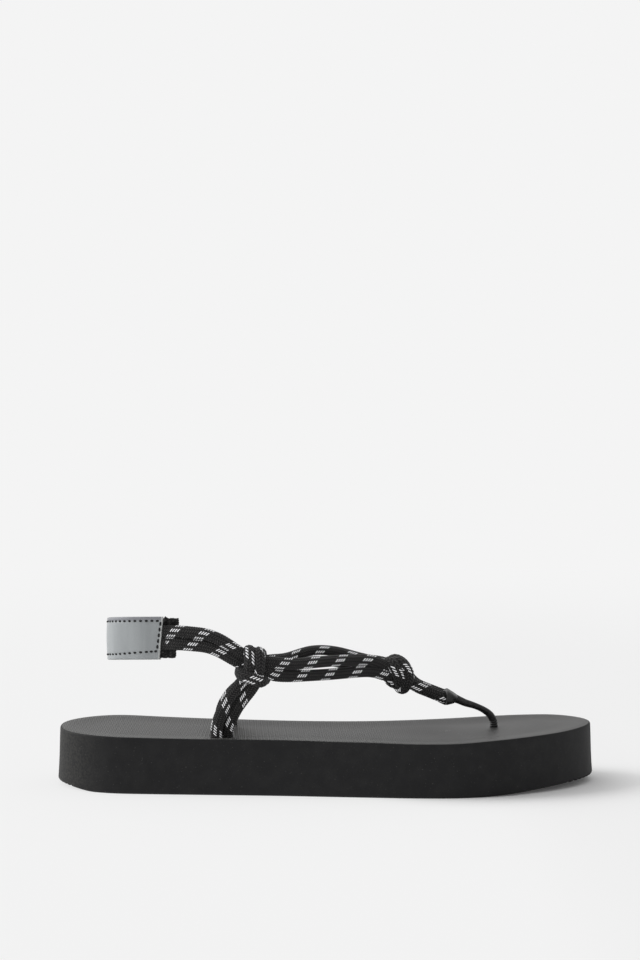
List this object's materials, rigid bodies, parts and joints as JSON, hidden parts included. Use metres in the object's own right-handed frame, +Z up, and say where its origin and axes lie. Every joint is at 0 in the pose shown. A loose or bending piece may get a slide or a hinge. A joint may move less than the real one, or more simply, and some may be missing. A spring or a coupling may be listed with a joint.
{
  "type": "rope sandal",
  "caption": "Right women's platform thong sandal with a black foam sole, flecked black rope straps and a grey heel strap.",
  "frame": {"origin": "middle of the sole's plan, on the floor", "axes": "+X towards the toe, +Y towards the inner side of the foot, +Z up"},
  "size_m": [0.255, 0.093, 0.0814],
  "materials": {
    "foam": "matte",
    "rope": "matte",
    "thong_rubber": "satin",
    "strap_grey": "satin",
    "tab_black": "matte"
  },
  "bodies": {
    "root": {"sole": "foam", "rope_upper": "rope", "toe_thong": "thong_rubber", "heel_strap": "strap_grey", "heel_tab_outer": "tab_black", "heel_tab_inner": "tab_black"}
  },
  "joints": []
}
